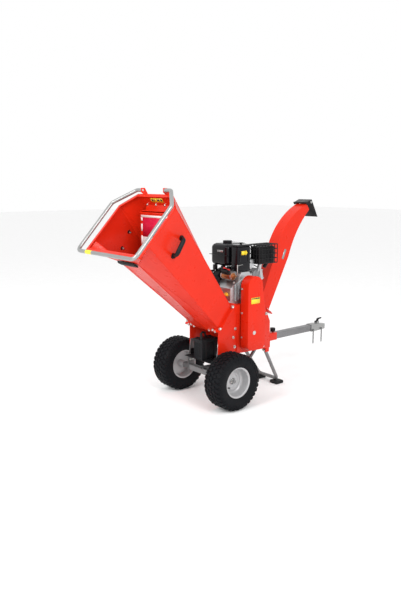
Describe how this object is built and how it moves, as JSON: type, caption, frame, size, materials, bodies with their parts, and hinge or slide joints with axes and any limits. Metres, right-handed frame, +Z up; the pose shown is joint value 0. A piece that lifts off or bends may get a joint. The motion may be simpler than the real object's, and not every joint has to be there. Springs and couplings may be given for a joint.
{
  "type": "wood chipper",
  "caption": "Towed wood chipper with a wide feed hopper and stop bar, engine and belt-driven rotor, curved discharge chute, turf wheels, extending drawbar and folding stand.",
  "frame": {"origin": "on the ground under the middle of the whole machine", "axes": "+X towards the drawbar and its coupler, +Y across the machine away from the belt guard, +Z up"},
  "size_m": [2.173, 0.767, 1.5333],
  "materials": {
    "red_paint": "gloss",
    "black_paint": "satin",
    "galvanised_tube": "satin",
    "zinc_plate": "satin",
    "cast_aluminium": "satin",
    "machined_steel": "satin",
    "rim_paint": "satin",
    "tyre_rubber": "matte",
    "black_rubber": "matte",
    "black_plastic": "satin",
    "tank_finish": "gloss",
    "yellow_plastic": "satin",
    "red_plastic": "satin",
    "starter_bronze": "satin"
  },
  "bodies": {
    "chassis": {"axle": "galvanised_tube", "side_plate_near": "red_paint", "side_plate_far": "red_paint", "engine_deck": "red_paint", "rotor_housing": "red_paint", "counter_knife": "machined_steel", "rotor_bearing_near": "cast_aluminium", "rotor_bearing_far": "cast_aluminium", "drive_belt": "black_rubber", "belt_guard": "red_paint", "discharge_chute": "red_paint", "crankcase": "cast_aluminium", "cylinder": "cast_aluminium", "fuel_tank": "tank_finish", "air_cleaner_base": "black_plastic", "air_cleaner_lid": "black_plastic", "muffler": "black_paint", "muffler_guard": "black_paint", "fan_housing": "black_plastic", "recoil_starter": "black_plastic", "starter_motor": "starter_bronze", "carburettor": "cast_aluminium", "switch_box": "black_plastic", "battery_box": "black_plastic", "battery_carrier": "black_paint", "battery_lead_live": "black_rubber", "battery_lead_earth": "black_rubber", "drawbar_receiver": "red_paint"},
    "wheel_near": {"tyre_near": "tyre_rubber", "rim_near": "rim_paint"},
    "wheel_far": {"tyre_far": "tyre_rubber", "rim_far": "rim_paint"},
    "rotor": {"rotor": "machined_steel", "knife_1": "machined_steel", "knife_2": "machined_steel", "rotor_pulley": "machined_steel"},
    "engine_pulley": {"engine_pulley": "machined_steel"},
    "hopper": {"hopper": "red_paint", "hopper_bumper": "black_rubber", "grab_handle_near": "black_plastic", "grab_handle_far": "black_plastic", "flap_bracket": "red_paint"},
    "stop_bar": {"stop_bar": "zinc_plate"},
    "feed_flap": {"feed_flap": "red_paint"},
    "deflector": {"deflector": "black_paint"},
    "fuel_cap": {"fuel_cap": "black_plastic"},
    "dipstick": {"dipstick": "yellow_plastic"},
    "recoil_handle": {"recoil_handle": "black_plastic"},
    "throttle_lever": {"throttle_lever": "red_plastic"},
    "choke_lever": {"choke_lever": "black_plastic"},
    "ignition_key": {"ignition_key": "machined_steel"},
    "clamp_knob": {"clamp_knob": "black_plastic"},
    "drawbar": {"drawbar": "galvanised_tube", "coupler_head": "zinc_plate"},
    "coupler_latch": {"coupler_latch": "black_paint"},
    "chain_front": {"chain_front": "machined_steel"},
    "chain_rear": {"chain_rear": "machined_steel"},
    "stand": {"stand_frame": "galvanised_tube", "stand_foot_near": "black_rubber", "stand_foot_far": "black_rubber"}
  },
  "joints": [
    {"name": "wheel_near_spin", "type": "hinge", "parent": "chassis", "child": "wheel_near", "pos_m": [-0.25251, -0.3035, 0.203], "axis": [0, 1, 0], "continuous": true},
    {"name": "wheel_far_spin", "type": "hinge", "parent": "chassis", "child": "wheel_far", "pos_m": [-0.25251, 0.3035, 0.203], "axis": [0, 1, 0], "continuous": true},
    {"name": "rotor_spin", "type": "hinge", "parent": "chassis", "child": "rotor", "pos_m": [0.00949, 0, 0.499], "axis": [0, 1, 0], "continuous": true},
    {"name": "crank_spin", "type": "hinge", "parent": "chassis", "child": "engine_pulley", "pos_m": [0.01549, -0.2, 0.834], "axis": [0, 1, 0], "continuous": true},
    {"name": "hopper_fold", "type": "hinge", "parent": "chassis", "child": "hopper", "pos_m": [-0.27771, 0, 0.5299], "axis": [0, -1, 0], "range_deg": [0, 38]},
    {"name": "stop_bar_push", "type": "hinge", "parent": "hopper", "child": "stop_bar", "pos_m": [-0.68711, 0, 1.51833], "axis": [0, -1, 0], "range_deg": [0, 4], "stiffness_Nm_per_rad": 60, "springref_deg": -14.32},
    {"name": "feed_flap_swing", "type": "hinge", "parent": "hopper", "child": "feed_flap", "pos_m": [-0.65251, 0, 1.364], "axis": [0, -1, 0], "range_deg": [-12, 30]},
    {"name": "deflector_tilt", "type": "hinge", "parent": "chassis", "child": "deflector", "pos_m": [0.74181, 0, 1.41184], "axis": [0, -1, 0], "range_deg": [-10, 40]},
    {"name": "fuel_cap_turn", "type": "hinge", "parent": "chassis", "child": "fuel_cap", "pos_m": [0.03349, 0.075, 1.133], "axis": [0, 0, 1], "range_deg": [0, 90]},
    {"name": "dipstick_turn", "type": "hinge", "parent": "chassis", "child": "dipstick", "pos_m": [-0.12551, -0.098, 0.7731], "axis": [-0.8321, 0, 0.5547], "range_deg": [0, 180]},
    {"name": "recoil_handle_pull", "type": "slide", "parent": "chassis", "child": "recoil_handle", "axis": [-0.6, 0, 0.8], "range_m": [0, 0.4], "stiffness_N_per_m": 20, "springref_m": -0.15},
    {"name": "throttle_lever_turn", "type": "hinge", "parent": "chassis", "child": "throttle_lever", "pos_m": [-0.07651, -0.064, 0.946], "axis": [0, 1, 0], "range_deg": [-10, 40]},
    {"name": "choke_lever_turn", "type": "hinge", "parent": "chassis", "child": "choke_lever", "pos_m": [-0.05451, -0.04, 0.948], "axis": [0, 1, 0], "range_deg": [0, 40]},
    {"name": "ignition_key_turn", "type": "hinge", "parent": "chassis", "child": "ignition_key", "pos_m": [-0.17751, -0.004, 0.866], "axis": [1, 0, 0], "range_deg": [0, 90]},
    {"name": "drawbar_slide", "type": "slide", "parent": "chassis", "child": "drawbar", "axis": [1, 0, 0], "range_m": [0, 0.1]},
    {"name": "clamp_knob_turn", "type": "hinge", "parent": "chassis", "child": "clamp_knob", "pos_m": [0.45949, 0, 0.405], "axis": [0, 0, 1], "continuous": true},
    {"name": "coupler_latch_lift", "type": "hinge", "parent": "drawbar", "child": "coupler_latch", "pos_m": [0.99649, 0, 0.3984], "axis": [0, -1, 0], "range_deg": [0, 60], "stiffness_Nm_per_rad": 0.6, "springref_deg": -22.92},
    {"name": "chain_front_swing", "type": "hinge", "parent": "drawbar", "child": "chain_front", "pos_m": [0.91148, -0.0384, 0.351], "axis": [0, 1, 0], "range_deg": [-40, 40]},
    {"name": "chain_rear_swing", "type": "hinge", "parent": "drawbar", "child": "chain_rear", "pos_m": [1.01548, -0.0384, 0.351], "axis": [0, 1, 0], "range_deg": [-40, 40]},
    {"name": "stand_fold", "type": "hinge", "parent": "chassis", "child": "stand", "pos_m": [0.23849, 0, 0.3105], "axis": [0, 1, 0], "range_deg": [0, 85]}
  ],
  "couplings": [
    {"joint": "crank_spin", "follows": "rotor_spin", "ratio": 1.15}
  ]
}
